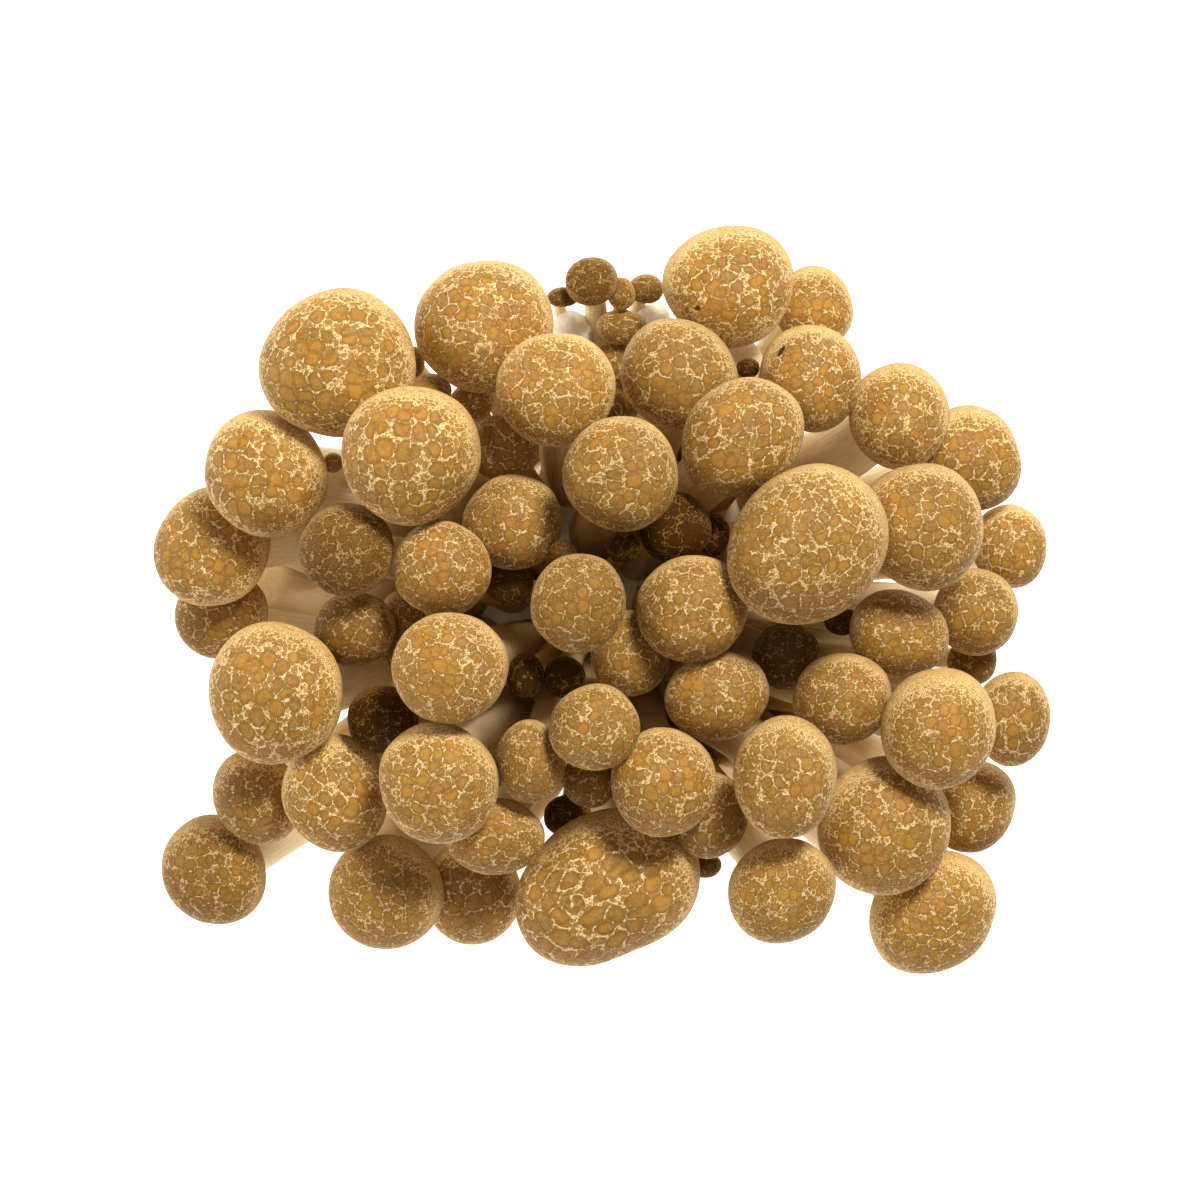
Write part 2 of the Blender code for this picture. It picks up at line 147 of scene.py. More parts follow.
# Fineness of the round forms
CAP_SIDES, CAP_SIDES_SMALL = 128, 96
PINHEAD_SIDES = 48
RINGS_PER_STRETCH = 7
STEM_SIDES, STEM_RINGS = 22, 52
THIN_STEM_SIDES, THIN_STEM_RINGS = 14, 40
ROUTE_STEPS = 4
BASE_SIDES, BASE_STEPS = 160, 6

# How uneven the stems are: scale of the noise round and along them, and its share of the thickness
BUMP_AROUND, BUMP_ALONG, BUMP_SIZE = 0.9, 0.10, 0.09
BLUNT_END = 0.02

# How much painted shade darkens a stem for being inside the cluster and for being low
INWARDS_SHADE, LOW_SHADE = 0.65, 0.55

# How uneven the caps are, in shares of the half width
CAP_LUMPS = [(2, 0.012), (3, 0.012), (5, 0.006)]
LUMP_RANGE = (0.4, 1.6)
CAP_DIMPLE = 0.020
DIMPLE_SCALE = 1.7

# The skin's pattern spreads from near each cap's crown: how far below the middle it is cast from,
# how far its start is moved, how much that differs between caps, and where it stops spreading
PATTERN_DROP = 0.30
PATTERN_SHIFT = (-0.06, -0.22, 0.0)
PATTERN_WANDER = 0.12
FLATTEST = 0.45

# The angle from the crown at which the skin has become all margin, for inner and for outer caps,
# how far out these are, and how much a cap's own upright counts in it
MARGIN_ANGLES = (130.0, 112.0)
MARGIN_PLACES = (0.3, 0.8)
OWN_MARGIN = 0.92

# Width of the skin's largest spots in shares of the half width, for half widths in millimetres
SPOT_RADII = (2.5, 4.0, 5.5, 7.5, 9.0)
SPOT_SHARES = (0.44, 0.34, 0.27, 0.215, 0.205)
SPOT_SPREAD = 0.18
SPOT_SIZES = {1: 0.85, 20: 1.20, 25: 1.10, 26: 1.20, 42: 1.15}
SPOT_ROUNDING = 0.17

# Skin colours, in linear red, green and blue
SPOT_DARK = (0.172, 0.076, 0.009)
SPOT_LIGHT = (0.418, 0.209, 0.038)
SPOT_SMALL = (0.308, 0.152, 0.025)
NET_PALE = (0.670, 0.435, 0.165)
NET_BRIGHT = (0.880, 0.670, 0.350)
NET_GRAIN = (0.313, 0.159, 0.028)
MARGIN_PALE = (0.590, 0.375, 0.135)
MARK_BROWN = (0.060, 0.022, 0.005)
# Dark skin colours, for the darker skin of small caps and for painted shade on caps sunk among the others
SHADED_YOUNG_BROWN = (0.042, 0.017, 0.003)
SHADED_YOUNG_NET = (0.230, 0.118, 0.026)
GILL_CREAM = (0.760, 0.620, 0.400)
STEM_CREAM = (0.880, 0.740, 0.480)
STEM_FIBRE = (0.640, 0.430, 0.180)
# Painted shade on stems inside and low in the cluster
STEM_PAINTED_SHADE = (0.560, 0.350, 0.130)
STEM_WHITE = (0.950, 0.920, 0.830)
BASE_TAN = (0.620, 0.480, 0.300)
BASE_DARK = (0.360, 0.240, 0.130)

# The stage, in metres and watts: each lamp's name, place, width and power
FLOOR_HALF = 1.5
FLOOR_WHITE = 0.80
FLOOR_GLOW = 0.88
WORLD_COLOUR = (1.0, 0.97, 0.92, 1.0)
WORLD_LIGHT = 0.045
LAMPS = [
    ("key_light", (0.30, 0.58, 0.86), 0.26, 15.9),
    ("top_light", (-0.15, 0.0, 1.20), 0.60, 3.0),
    ("left_light", (-0.90, 0.10, 0.17), 0.34, 3.8),
    ("front_light", (-0.20, -0.90, 0.17), 0.34, 3.4),
]
LAMP_COLOUR = (1.0, 0.96, 0.90)
LAMP_AIM = (0.0, 0.0, 0.05)

# The camera: the width that it sees at the height the sizes were read at, and its sensor
SEEN_WIDTH = 160.0
SENSOR_WIDTH = 36.0

# Small brown scars on two caps, by number: place from above, size along and across, and turn in degrees
SCAR_DEPTH = 0.3
SCARS = {18: (13.0, 38.9, 0.50, 0.42, 0), 16: (24.2, 33.2, 1.05, 0.32, 58)}
NO_SCAR = 9.0

# How dark the skin is from 0 to 1, for half widths in millimetres, and how much caps differ: small caps
# have darker skin of their own, and part of this darkness is painted shade
DARKNESS_RADII = (1.5, 3.5, 5.0, 7.0, 8.5)
DARKNESS_SHARES = (0.85, 0.70, 0.35, 0.08, 0.0)
DARKNESS_SPREAD = 0.05

# How dark the skin of some caps is, by number, from 0 to 1, with the smallest mushrooms' numbers below
# nought; the others go by their size. This is partly the caps' own darker skin and partly painted shade on
# caps sunk among the others
DARK_AND_SHADED_CAPS = {
    1: 0.17,
    2: 0.26,
    3: 0.12,
    5: 0.28,
    6: 0.12,
    11: 0.22,
    12: 0.15,
    15: 0.12,
    17: 0.16,
    19: 0.15,
    22: 0.22,
    28: 0.10,
    30: 0.00,
    32: 0.00,
    34: 0.30,
    37: 0.60,
    48: 0.40,
    49: 0.30,
    50: 0.50,
    51: 1.00,
    52: 0.78,
    53: 0.05,
    54: 1.00,
    55: 0.95,
    57: 0.65,
    58: 0.65,
    59: 0.66,
    -1: 0.75,
    -2: 0.55,
    -3: 0.62,
    -4: 0.52,
    -5: 0.40,
    -6: 1.00,
    -7: 1.00,
    -8: 1.00,
    -9: 1.00,
    -12: 0.05,
    -13: 0.05,
    -14: 0.05,
    -15: 0.35,
    -16: 1.00,
    -17: 1.00,
    -18: 1.00,
    -19: 1.00,
}

# Each cap as it shows from above: place right of and behind the middle, size across and along, and turn
CAPS = [
    (27.3, 7.9, 23.2, 21.1, 45),
    (2.7, 16.8, 15.5, 15.5, 0),
    (12.3, -1.2, 14.9, 14.4, 0),
    (-25.2, 19.2, 18.7, 18.7, 0),
    (-2.8, -0.4, 12.5, 13.3, -15),
    (18.9, 21.6, 17.6, 15.2, 45),
    (-20.0, -9.1, 15.7, 14.9, 0),
    (-5.9, 28.0, 16.0, 15.2, 0),
    (-15.5, 36.3, 18.4, 17.6, 0),
    (-21.1, 4.4, 13.1, 12.5, 0),
    (-11.7, 10.4, 13.3, 12.8, 0),
    (-0.8, -16.9, 12.3, 11.7, 0),
    (-21.5, -24.4, 16.0, 16.3, 0),
    (8.5, -24.3, 14.1, 14.7, 0),
    (24.7, -23.6, 13.9, 16.5, 0),
    (27.9, 29.5, 13.3, 14.4, 0),
    (10.7, 30.1, 16.0, 14.9, -15),
    (16.9, 41.9, 17.3, 15.7, -10),
    (42.8, 9.7, 16.8, 17.1, 0),
    (-43.2, -12.3, 17.9, 18.9, 0),
    (45.1, -17.2, 15.5, 16.3, 0),
    (32.3, -13.2, 13.3, 12.3, 0),
    (39.9, -4.5, 13.6, 11.5, -15),
    (-35.5, -25.6, 14.1, 15.5, 0),
    (-34.8, 31.5, 21.1, 19.5, -20),
    (-44.3, 16.9, 16.8, 17.1, 0),
    (39.9, 24.5, 13.6, 14.4, 0),
    (37.9, -30.1, 17.9, 18.7, 0),
    (49.3, 19.1, 13.6, 14.1, 0),
    (28.4, 39.3, 10.4, 10.7, 0),
    (50.1, -1.6, 11.5, 11.7, 0),
    (54.5, 7.2, 10.1, 10.9, 0),
    (15.6, -12.9, 14.1, 11.7, 10),
    (4.1, -7.1, 10.7, 11.5, 0),
    (-9.3, -21.5, 9.3, 11.2, 0),
    (-14.0, -31.5, 13.3, 10.4, 0),
    (-33.9, 6.7, 12.8, 12.5, 0),
    (-51.7, 7.1, 15.7, 15.7, 0),
    (-45.7, -26.5, 11.7, 12.3, 0),
    (-28.5, -38.8, 15.5, 15.2, 0),
    (14.5, -28.7, 10.7, 11.7, 0),
    (1.1, -38.0, 24.5, 20.3, 22),
    (-17.2, -39.1, 13.3, 13.6, 0),
    (24.4, -38.7, 14.4, 14.1, 0),
    (44.3, -41.6, 16.5, 16.3, 0),
    (49.5, -27.9, 11.5, 11.7, 0),
    (54.8, -16.0, 10.4, 12.5, 0),
    (-50.4, -1.9, 12.5, 11.7, 0),
    (-51.5, -35.9, 14.1, 14.7, 0),
    (-32.8, -3.9, 11.2, 9.9, 0),
    (-28.9, -16.0, 9.6, 9.1, 0),
    (24.8, -7.5, 9.1, 9.1, 0),
    (-12.9, 20.3, 9.1, 9.1, 0),
    (10.1, 9.6, 9.6, 9.6, 0),
    (-12.3, 2.7, 6.9, 6.9, 0),
    (-26.4, -4.3, 6.9, 11.2, 0),
    (-1.3, -24.0, 7.5, 7.5, 0),
    (49.6, -8.0, 6.7, 6.9, 0),
    (-1.2, 42.4, 6.9, 6.4, 0),
]

# Where an outline from above bulges or is flattened, by the cap's number: direction, share of half width
SWELLINGS = {
    1: [(137, -0.12), (30, -0.03)],
    5: [(205, 0.05)],
    9: [(50, 0.04), (140, 0.03)],
    10: [(-50, 0.05)],
    12: [(140, -0.05)],
    16: [(20, 0.06)],
    17: [(35, -0.05)],
    18: [(48, 0.09), (-90, 0.05)],
    20: [(225, 0.05)],
    24: [(-45, 0.09)],
    25: [(60, 0.06), (150, -0.03), (205, 0.03)],
    26: [(42, -0.09), (130, 0.05)],
    29: [(40, -0.06), (-40, 0.07)],
    30: [(-45, 0.08)],
    32: [(-60, 0.06), (55, 0.05)],
    38: [(150, -0.09), (205, 0.09), (111, 0.05)],
    39: [(125, 0.12)],
    40: [(250, 0.03)],
    42: [(222, 0.10), (-55, -0.06), (150, -0.04), (-15, 0.05), (-90, -0.03)],
    43: [(-50, 0.04)],
    44: [(215, 0.07), (170, -0.02), (-30, -0.03)],
    45: [(40, 0.12), (-35, -0.04), (222, 0.05)],
    46: [(56, 0.15)],
    47: [(50, 0.07)],
    48: [(220, 0.05)],
    53: [(-30, 0.08)],
    59: [(50, 0.12)],
}
SWELLING_NARROWNESS = 3

# Stems that are stouter than the others, by the cap's number
STOUT_STEMS = {
    18: 1.25,
    20: 1.15,
    26: 1.35,
    27: 1.30,
    30: 1.50,
    31: 1.35,
    32: 1.15,
    38: 1.25,
    40: 1.40,
    48: 1.40,
    49: 1.20,
}

# The smallest mushrooms, listed the same way; the last four are bare stem ends
PINHEADS = [
    (-4.9, 40.4, 4.3, 2.7, 0),
    (2.9, 40.8, 3.7, 4.5, 0),
    (6.1, 41.5, 4.8, 4.0, 0),
    (2.8, 36.4, 6.7, 4.8, 0),
    (2.0, 32.0, 5.3, 6.1, 0),
    (-4.3, -28.7, 6.4, 5.6, 0),
    (-9.9, -10.0, 5.1, 6.1, 0),
    (-4.7, -10.3, 5.6, 5.6, 0),
    (3.2, 7.2, 4.8, 4.5, 0),
    (-4.9, 6.4, 3.7, 3.2, 0),
    (14.0, -35.4, 4.4, 3.3, 0),
    (-22.7, 28.0, 5.9, 4.5, 0),
    (-17.1, 26.4, 5.9, 5.3, 0),
    (-24.8, 31.7, 2.9, 4.3, 0),
    (-35.6, 18.3, 2.7, 2.7, 0),
    (14.9, 8.7, 4.8, 5.9, 0),
    (32.3, -2.9, 4.8, 3.7, 0),
    (19.7, 30.9, 3.2, 2.7, 0),
    (1.6, 26.0, 4.3, 4.8, 0),
    (-4.0, 37.3, 5.9, 5.3, 0),
    (7.4, 38.3, 4.8, 4.8, 0),
    (19.4, 33.0, 5.6, 5.6, 0),
    (-46.5, 3.2, 8.0, 8.0, 0),
]

# How many are bare, how much wider these get towards their ends, and how white each of them is
BARE_STEM_ENDS = 4
BARE_END_GROWTH = 2.6
WHITE_ENDS = (0.85, 0.75, 0.0, 0.0)


def rim_share(x, y):
    """How far out a place is: 0 in the middle and 1 at the rounded oblong rim."""
    sides = abs(x / RIM_HALF_WIDTH) ** RIM_SQUARENESS + abs(y / RIM_HALF_DEPTH) ** RIM_SQUARENESS
    return sides ** (1 / RIM_SQUARENESS)


def dome_height(x, y):
    """The height of the dome over that place."""
    return CROWN_HEIGHT - RIM_DROP * rim_share(x, y) ** 2


def real_place(x, y, height):
    """A place seen from above, moved to where it really is at that height."""
    share = (EYE_HEIGHT - height) / (EYE_HEIGHT - READING_HEIGHT)
    return x * share - OUTLINE_MIDDLE[0], y * share - OUTLINE_MIDDLE[1], share


def cap_axis(x, y):
    """The direction a cap faces: upright in the middle, leaning outwards at the rim."""
    lean = math.radians(RIM_LEAN_DEG * rim_share(x, y) ** LEAN_GROWTH)
    out = Vector((x, y, 0.0)).normalized()
    return out * math.sin(lean) + Vector((0.0, 0.0, math.cos(lean)))


def turned(rings, sides, ridge_at=None):
    """Points and faces of a turned shape: a top, rings and a middle of the seat."""
    points = [(0.0, 0.0, CAP_TOP)]
    for radius, height in rings:
        for side in range(sides):
            angle = 2 * math.pi * side / sides
            ridge = GILL_DEPTH * (-1) ** side if (radius, height) == ridge_at else 0.0
            points.append((radius * math.cos(angle), radius * math.sin(angle), height + ridge))
    points.append((0.0, 0.0, rings[-1][1]))
    faces = []
    for side in range(sides):
        after = (side + 1) % sides
        faces.append((0, 1 + side, 1 + after))
        for ring in range(len(rings) - 1):
            upper, lower = 1 + ring * sides, 1 + (ring + 1) * sides
            faces.append((upper + side, lower + side, lower + after, upper + after))
        last = 1 + (len(rings) - 1) * sides
        faces.append((last + side, len(points) - 1, last + after))
    return np.array(points), faces


def stretched(points, row):
    """Stretches a cap until its outline from above has the size that the row gives."""
    turn = math.radians(row[4])
    first = np.array((math.cos(turn), math.sin(turn), 0.0))
    second = np.array((-math.sin(turn), math.cos(turn), 0.0))
    growth = []
    for direction, wanted in ((first, row[2]), (second, row[3])):
        reach = points @ direction
        growth.append(wanted / (reach.max() - reach.min()))
        points = points + np.outer(reach * (growth[-1] - 1.0), direction)
    points[:, 2] *= sum(growth) / 2
    for direction in (first, second):
        reach = points @ direction
        points = points - direction * (reach.max() + reach.min()) / 2
    return points


def swollen(points, swellings):
    """Bulges or flattens a cap's outline from above in the given directions."""
    angle = np.arctan2(points[:, 1], points[:, 0])
    growth = np.ones(len(points))
    for direction, share in swellings:
        facing = np.clip(np.cos(angle - math.radians(direction)), 0.0, None)
        growth += share * facing**SWELLING_NARROWNESS
    return points * np.stack((growth, growth, np.ones(len(points))), axis=1)


class Cap:
    """A cap's plain form as in the solids: where it sits, how it leans and where its stem meets it."""

    def __init__(self, row, rings, sides, height, swellings=()):
        self.row = row
        self.swellings = swellings
        self.axis = cap_axis(row[0], row[1])
        self.leaning = np.array(Vector((0, 0, 1)).rotation_difference(self.axis).to_matrix())
        upright, self.faces = turned(rings, sides, GILL_RING)
        self.points = self.shaped(upright)
        self.move_to(height)

    def shaped(self, upright):
        """Leans an upright cap, and gives it the outline from above that its row and swellings say."""
        return swollen(stretched(upright @ self.leaning.T, self.row), self.swellings)

    def move_to(self, height):
        """Puts the cap at that height, where it still shows in its place from above."""
        x, y, self.share = real_place(self.row[0], self.row[1], height)
        self.height = height
        self.middle = np.array((x, y, height))
        placed = self.points * self.share + self.middle
        self.radius = (self.row[2] + self.row[3]) / 4 * self.share
        self.seat = placed[-1]
        outwards = self.points / np.linalg.norm(self.points, axis=1)[:, None]
        swollen_points = [Vector(p) for p in placed + outwards * GAP / 2]
        self.faces_there = BVHTree.FromPolygons(swollen_points, self.faces)

    def crowds(self, other):
        """True if this cap comes within the gap of the other."""
        apart = np.linalg.norm(self.middle - other.middle)
        if apart > FAR_SHARE * (self.radius + other.radius) + GAP:
            return False
        if apart < NEAR_SHARE * max(self.radius, other.radius):
            return True
        return bool(self.faces_there.overlap(other.faces_there))

    def hides(self, other):
        """True if this cap stands over the other where the two overlap from above."""
        apart = math.hypot(self.row[0] - other.row[0], self.row[1] - other.row[1])
        reach = (self.row[2] + self.row[3] + other.row[2] + other.row[3]) / 4
        return apart < LEAST_OVERLAP * reach and self.height > other.height


def sides_for(row):
    """The larger a solid cap is, the more sides it has."""
    size = (row[2] + row[3]) / 2
    if size > LARGE_CAP:
        return SIDES_LARGE
    return SIDES_MIDDLE if size > SMALL_CAP else SIDES_SMALL


def caps_in_frame():
    """The caps at the heights where their solids stand in the frame."""
    rings = [*CAP_RINGS, GILL_RING, (SEAT_RADIUS, SEAT_HEIGHT)]
    slope = 1 / (EYE_HEIGHT - READING_HEIGHT)
    caps = []
    for number, row in enumerate(CAPS, 1):
        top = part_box(f"cap_{number:02d}")[1].z / MM
        cap = Cap(row, rings, sides_for(row), READING_HEIGHT, SWELLINGS.get(number, ()))
        reach = cap.points[:, 2].max()
        cap.move_to((top - EYE_HEIGHT * slope * reach) / (1 - slope * reach))
        caps.append(cap)
    return caps


def settled_pinheads(caps):
    """The smallest mushrooms, each lowered until it is clear of all that stand above it."""
    placed = list(caps)
    for row in PINHEADS:
        cap = Cap(row, [*KNOB_RINGS, KNOB_SEAT], SIDES_KNOB, dome_height(row[0], row[1]) - PINHEAD_DEPTH)
        while any(cap.crowds(other) or cap.hides(other) for other in placed):
            cap.move_to(cap.height - SETTLE_STEP)
        placed.append(cap)
    return placed[len(caps) :]


def bow(foot, seat, axis):
    """Points up a stem that leaves the base steeply and meets its cap square on."""
    rise = seat[2] - foot[2]
    way = seat - foot
    lower = foot + np.array((FOOT_DRIFT * way[0], FOOT_DRIFT * way[1], FOOT_RISE * rise))
    upper = seat - np.array(axis) * SEAT_RISE * rise
    points = []
    for step in range(ROUTE_POINTS):
        t = step / (ROUTE_POINTS - 1)
        near_foot = (1 - t) ** 3 * foot + 3 * (1 - t) ** 2 * t * lower
        points.append(near_foot + 3 * (1 - t) * t * t * upper + t**3 * seat)
    return np.array(points)


def stem_radii(cap, growth):
    """Half thickness up a stem, from a stout foot to the neck below the cap."""
    shares = np.linspace(0.0, 1.0, ROUTE_POINTS)
    widths = (STEM_FOOT * growth, STEM_MIDDLE * growth, STEM_SHOULDER * growth, STEM_TOP)
    return np.maximum(cap.radius * np.interp(shares, STEM_SHARES, widths), STEM_THINNEST)


def relaxed(paths, radii, caps):
    """Bends the stems clear of the caps that they pass and of each other, their ends held."""
    count = len(paths)
    bows = paths.copy()
    inner = np.arange(1, ROUTE_POINTS - 1)
    middles = np.array([cap.middle for cap in caps])
    reach = np.array([cap.radius for cap in caps])
    own = np.repeat(np.arange(count), len(inner))
    for _ in range(RELAX_ROUNDS):
        moving = paths[:, inner].reshape(-1, 3)
        thick = radii[:, inner].reshape(-1)
        push = np.zeros_like(moving)
        for centres, sizes, owners, strength in (
            (middles, reach * CAP_SIZE, np.arange(count), CAP_PUSH),
            (moving, thick * STEM_SIZE, own, STEM_PUSH),
        ):
            away = moving[:, None] - centres[None]
            distance = np.linalg.norm(away, axis=2) + 1e-6
            short = np.clip(sizes[None] + thick[:, None] + STEM_AIR - distance, 0.0, None)
            short[own[:, None] == owners[None]] = 0.0
            away[:, :, 2] *= UPWARDS_SHARE
            push += strength * (away / distance[:, :, None] * short[:, :, None]).sum(axis=1)
        moving = (moving + push).reshape(count, len(inner), 3)
        bent = paths - bows
        bent[:, inner] = moving - bows[:, inner]
        even = (bent[:, :-2] + bent[:, 2:]) / 2
        paths[:, inner] = moving + EVENING * (even - bent[:, inner])
    return paths


def stem_routes(everyone):
    """The routes of all stems and their half thicknesses."""
    growths = [STOUT_STEMS.get(number, 1.0) for number in range(1, len(everyone) + 1)]
    radii = np.array([stem_radii(cap, growth) for cap, growth in zip(everyone, growths)])
    paths = []
    for cap in everyone:
        foot = np.array((cap.middle[0] * FOOT_SHARE, cap.middle[1] * FOOT_SHARE, FOOT_HEIGHT))
        seat = cap.seat + np.array(cap.axis) * STEM_IN_CAP
        paths.append(bow(foot, seat, cap.axis))
    paths = relaxed(np.array(paths), radii, everyone)
    paths[:, :, 2] = np.maximum(paths[:, :, 2], FOOT_HEIGHT)
    return paths, radii


def smooth_through(points, per_stretch, start=None):
    """A smooth curve through points: a Catmull-Rom spline, with the point before the first one given."""
    points = np.array(points, float)
    before = points[0] if start is None else np.array(start, float)
    padded = np.vstack((before, points, 2 * points[-1] - points[-2]))
    curve = []
    for index in range(1, len(padded) - 2):
        a, b, c, d = padded[index - 1 : index + 3]
        for step in range(per_stretch):
            t = step / per_stretch
            squared = (2 * a - 5 * b + 4 * c - d) * t * t
            cubed = (3 * b - a - 3 * c + d) * t**3
            curve.append(0.5 * (2 * b + (c - a) * t + squared + cubed))
    curve.append(points[-1])
    return np.array(curve)


def new_piece(name, points, faces, materials):
    """Links a smoothly shaded mesh of points in millimetres."""
    data = bpy.data.meshes.new(name)
    data.from_pydata([tuple(point) for point in points * MM], [], faces)
    for material in materials:
        data.materials.append(material)
    data.shade_smooth()
    made = bpy.data.objects.new(name, data)
    bpy.context.scene.collection.objects.link(made)
    return made


def turned_outwards(piece):
    """Turns every face of the piece outwards."""
    mesh = bmesh.new()
    mesh.from_mesh(piece.data)
    bmesh.ops.recalc_face_normals(mesh, faces=mesh.faces)
    mesh.to_mesh(piece.data)
    mesh.free()


def set_values(piece, name, kind, values):
    """Stores a number or a vector at each point of the mesh, for its material to read."""
    attribute = piece.data.attributes.new(name, kind, "POINT")
    field = "vector" if kind == "FLOAT_VECTOR" else "value"
    attribute.data.foreach_set(field, np.array(values, np.float32).ravel())


def cap_form(sides, draw):
    """Points, faces and material slots of an upright round cap with its gills and its own unevenness."""
    over_the_top = (-CAP_RINGS[0][0], CAP_RINGS[0][1])
    top = smooth_through([(0.0, CAP_TOP), *CAP_RINGS], RINGS_PER_STRETCH, start=over_the_top)
    edge_radius, edge_height = CAP_RINGS[-1]
    lip = [(edge_radius + outwards, edge_height + upwards) for outwards, upwards in LIP_STEPS]
    rings = [tuple(ring) for ring in top[1:]] + lip + UNDER_RINGS
    upright, faces = turned(rings, sides)
    ring_of = np.concatenate(([-1], np.repeat(np.arange(len(rings)), sides), [len(rings)]))
    side_of = np.concatenate(([0], np.tile(np.arange(sides), len(rings)), [0]))
    first_gill = len(top) - 1 + len(lip)
    gills = (ring_of >= first_gill + 1) & (ring_of <= first_gill + GILL_RINGS)
    upright[gills, 2] -= FINE_GILL_DEPTH * (2 * (side_of[gills] % 2) - 1)

    angle = np.arctan2(upright[:, 1], upright[:, 0])
    weight = np.clip(np.hypot(upright[:, 0], upright[:, 1]), 0.0, 1.0) ** 2
    lump = np.zeros(len(upright))
    for waves, size in CAP_LUMPS:
        lump += size * draw.uniform(*LUMP_RANGE) * np.sin(waves * angle + draw.uniform(0, 2 * math.pi))
    upright[:, :2] *= (1 + lump * weight)[:, None]
    offset = Vector((draw.uniform(0, 50), draw.uniform(0, 50), draw.uniform(0, 50)))
    dimple = np.array([noise.noise(Vector(point) * DIMPLE_SCALE + offset) for point in upright])
    upright *= (1 + CAP_DIMPLE * dimple)[:, None]
    slots = [1 if min(ring_of[index] for index in face) >= first_gill - 1 else 0 for face in faces]
    return upright, faces, slots


def skin_places(cap, number, upright, draw):
    """Where each point lies in the skin's pattern, and how far it is towards the margin."""
    own = np.degrees(np.arctan2(np.hypot(upright[:, 0], upright[:, 1]), upright[:, 2] + PATTERN_DROP))
    facing = (Vector((0.0, 0.0, 1.0)) + cap.axis).normalized() + Vector(PATTERN_SHIFT)
    facing += Vector((draw.uniform(-1, 1), draw.uniform(-1, 1), 0.0)) * PATTERN_WANDER
    upended = np.array(facing.rotation_difference(Vector((0.0, 0.0, 1.0))).to_matrix())
    directions = (upright + np.array((0.0, 0.0, PATTERN_DROP))) @ cap.leaning.T @ upended.T
    directions /= np.linalg.norm(directions, axis=1)[:, None]
    flat = 2 * directions[:, :2] / np.maximum(1 + directions[:, 2], FLATTEST)[:, None]
    spot = np.interp(cap.radius, SPOT_RADII, SPOT_SHARES)
    spot *= SPOT_SIZES.get(number, draw.uniform(1 - SPOT_SPREAD, 1 + SPOT_SPREAD))
    pattern = np.zeros((len(upright), 3))
    pattern[:, :2] = flat / spot + np.array((draw.uniform(0, 400), draw.uniform(0, 400)))
    turned_away = np.degrees(np.arccos(np.clip(directions[:, 2], -1, 1)))
    outwards = math.hypot(cap.middle[0] / RIM_HALF_WIDTH, cap.middle[1] / RIM_HALF_DEPTH)
    bare = np.interp(outwards, MARGIN_PLACES, MARGIN_ANGLES)
    margin = np.clip(np.maximum(turned_away, own * OWN_MARGIN) / bare, 0.0, 1.0)
    return pattern, margin


def fine_cap(cap, number, sides, draw):
    """Points, faces, skin coordinates and material slots of a round cap in its place."""
    upright, faces, slots = cap_form(sides, draw)
    pattern, margin = skin_places(cap, number, upright, draw)
    return cap.shaped(upright) * cap.share + cap.middle, faces, pattern, margin, slots


def scarred(points, number):
    """Sinks a small scar into a cap that has one, and gives each point's place on it: its edge is at 1."""
    place = np.full((len(points), 3), NO_SCAR)
    if number in SCARS:
        x, y, along, across, turn = SCARS[number]
        shares = (EYE_HEIGHT - points[:, 2]) / (EYE_HEIGHT - READING_HEIGHT)
        right = points[:, 0] + OUTLINE_MIDDLE[0] - x * shares
        behind = points[:, 1] + OUTLINE_MIDDLE[1] - y * shares
        cosine, sine = math.cos(math.radians(turn)), math.sin(math.radians(turn))
        place[:, 0] = (right * cosine + behind * sine) / along
        place[:, 1] = (behind * cosine - right * sine) / across
        place[:, 2] = np.where(points[:, 2] > points[:, 2].mean(), 0.0, NO_SCAR)
        sunk = np.exp(-((np.hypot(right, behind) / along) ** 2)) * (place[:, 2] == 0.0)
        points[:, 2] -= sunk * SCAR_DEPTH
    return place


def darkness_with_painted_shade(cap, number, draw):
    """How dark a cap's skin is, from 0 to 1: small caps have darker skin, caps sunk among the others get
    painted shade as well, and each differs a little.
    """
    by_size = np.interp(cap.radius, DARKNESS_RADII, DARKNESS_SHARES)
    wanted = DARK_AND_SHADED_CAPS.get(number, by_size)
    return float(np.clip(wanted + draw.uniform(-DARKNESS_SPREAD, DARKNESS_SPREAD), 0.0, 1.0))


def add_caps(caps, skin, gill):
    """One fine piece for each cap of the frame."""
    for number, cap in enumerate(caps, 1):
        draw = random.Random(SEED * 1000 + number)
        sides = CAP_SIDES if cap.radius * 2 > LARGE_CAP else CAP_SIDES_SMALL
        points, faces, pattern, margin, slots = fine_cap(cap, number, sides, draw)
        scar = scarred(points, number)
        piece = new_piece(f"skin_cap_{number:02d}", points, faces, (skin, gill))
        set_values(piece, "scar", "FLOAT_VECTOR", scar)
        piece.data.polygons.foreach_set("material_index", slots)
        set_values(piece, "pattern", "FLOAT_VECTOR", pattern)
        set_values(piece, "margin", "FLOAT", margin)
        # How dark each cap's skin is, with painted shade for caps sunk among the others
        set_values(piece, "young_or_shaded", "FLOAT", [darkness_with_painted_shade(cap, number, draw)] * len(points))
        turned_outwards(piece)
        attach(piece, "root")
        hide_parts(f"cap_{number:02d}")


